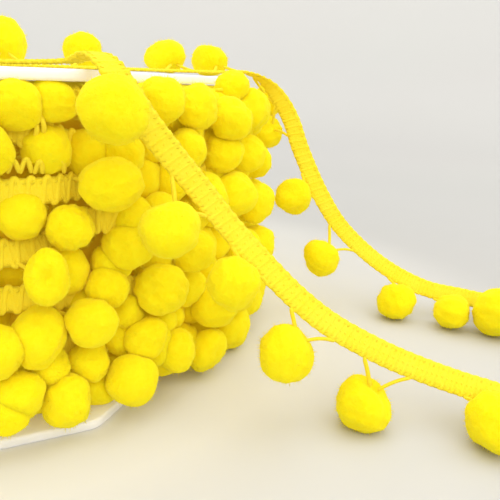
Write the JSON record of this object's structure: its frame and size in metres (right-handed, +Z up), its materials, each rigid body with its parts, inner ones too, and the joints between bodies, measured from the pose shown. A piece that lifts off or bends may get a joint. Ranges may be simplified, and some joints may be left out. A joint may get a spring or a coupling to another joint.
{
  "type": "pompom fringe trim on a reel",
  "caption": "Yellow pompom fringe trim wound on a flanged white reel, with a loose length laid over the top that hangs over the rim to the floor.",
  "frame": {"origin": "centre of the reel's foot, on the surface that it stands on", "axes": "+Z up along the reel's axis; -Y towards the side that the loose front length hangs on; +X towards the side where both loose ends reach the floor"},
  "size_m": [0.2169, 0.1949, 0.0732],
  "materials": {
    "reel": "satin white",
    "barrel": "matt white",
    "wound_trim": "soft clipped yarn, lemon yellow",
    "loose_trim": "ribbed braid and clipped yarn, lemon yellow"
  },
  "bodies": {
    "root": {"reel_flange_bottom": "reel", "reel_flange_top": "reel", "reel_barrel": "barrel", "trim_winding": "wound_trim", "trim_loose": "loose_trim"}
  },
  "joints": []
}
